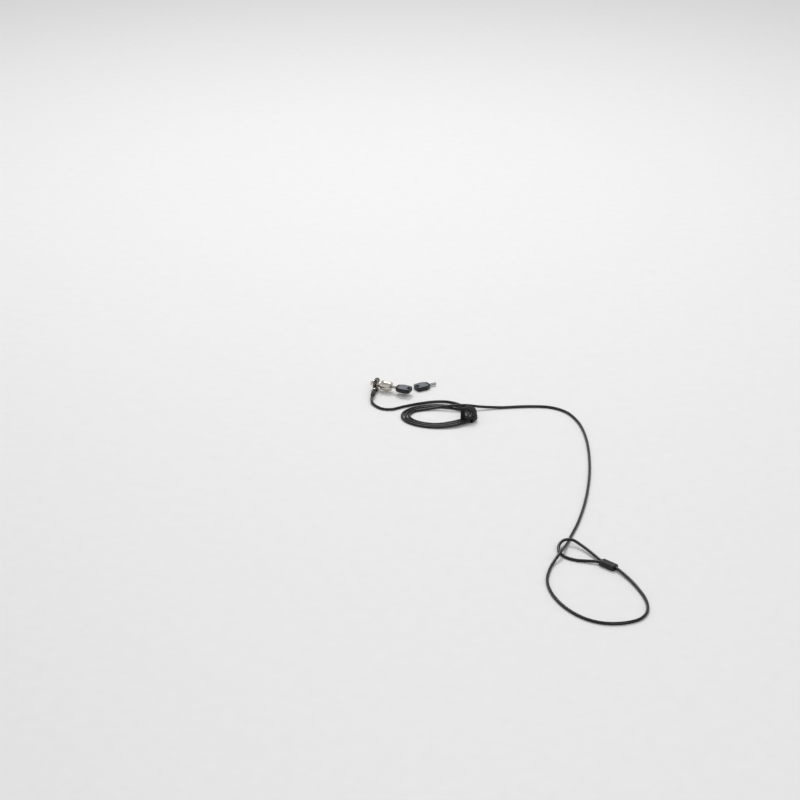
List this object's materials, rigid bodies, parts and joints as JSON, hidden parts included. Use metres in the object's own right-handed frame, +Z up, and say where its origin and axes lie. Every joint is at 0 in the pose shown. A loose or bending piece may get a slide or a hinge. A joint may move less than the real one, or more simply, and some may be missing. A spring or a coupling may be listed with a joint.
{
  "type": "laptop cable lock",
  "caption": "Keyed T-bar lock for a laptop's security slot, on a vinyl-covered steel cable with strapped wraps and a noose loop at its far end, with a spare key.",
  "frame": {"origin": "on the desk, under the middle of the box round the lock and its keys, without the cable", "axes": "+X along the lock from its T-bar nose to its key, +Z up from the desk, +Y to the left seen from the nose"},
  "size_m": [0.5069, 0.4857, 0.0196],
  "materials": {
    "bright_nickel": "polished nickel plate",
    "satin_nickel": "satin nickel plate",
    "dark_nickel": "polished black nickel plate",
    "brass": "as machined",
    "crimp_aluminium": "pressed",
    "cable_vinyl": "smooth dark grey vinyl",
    "black_moulding": "matte moulding",
    "strap_fabric": "hook-and-loop strap",
    "bow_plastic": "fine satin moulding"
  },
  "bodies": {
    "cable": {"cable_lead": "cable_vinyl", "cable_coil": "cable_vinyl", "cable_run": "cable_vinyl", "cable_loop": "cable_vinyl", "loop_crimp": "crimp_aluminium", "loop_sleeve": "black_moulding", "coil_strap": "strap_fabric", "cable_terminal": "bright_nickel", "lead_sleeve": "black_moulding"},
    "collar": {"swivel_collar": "dark_nickel", "link_pin": "bright_nickel"},
    "lock_head": {"nose_flange": "bright_nickel", "collar_clip": "bright_nickel", "lock_body": "bright_nickel", "face_plate": "satin_nickel"},
    "turning_core": {"rotor": "satin_nickel", "disc_1": "brass", "disc_2": "brass", "disc_3": "brass", "disc_4": "brass", "t_bar": "satin_nickel"},
    "locking_bar": {"sidebar": "brass"},
    "key_in_lock": {"key_blade": "satin_nickel", "key_bow": "bow_plastic"},
    "spare_key": {"spare_key_blade": "satin_nickel", "spare_key_bow": "bow_plastic"}
  },
  "joints": [
    {"name": "cable_pivot", "type": "hinge", "parent": "cable", "child": "collar", "pos_m": [-0.0267, -0.0276, 0.0049], "axis": [0, 0, 1], "range_deg": [-60, 60]},
    {"name": "head_swivel", "type": "hinge", "parent": "collar", "child": "lock_head", "pos_m": [-0.0331, -0.0154, 0.0085], "axis": [1, 0, 0], "continuous": true},
    {"name": "key_turn", "type": "hinge", "parent": "lock_head", "child": "turning_core", "pos_m": [-0.0331, -0.0154, 0.0085], "axis": [1, 0, 0], "range_deg": [0, 90]},
    {"name": "key_slide", "type": "slide", "parent": "turning_core", "child": "key_in_lock", "axis": [1, 0, 0], "range_m": [-0.0072, 0.012]},
    {"name": "sidebar_rock", "type": "hinge", "parent": "turning_core", "child": "locking_bar", "pos_m": [-0.0186, -0.0154, 0.01245], "axis": [0, 1, 0], "range_deg": [0, 5]},
    {"name": "spare_key_lift", "type": "slide", "parent": "cable", "child": "spare_key", "axis": [0, 0, 1], "range_m": [0, 0.05]}
  ],
  "couplings": [
    {"joint": "sidebar_rock", "follows": "key_turn", "ratio": 0.053}
  ]
}
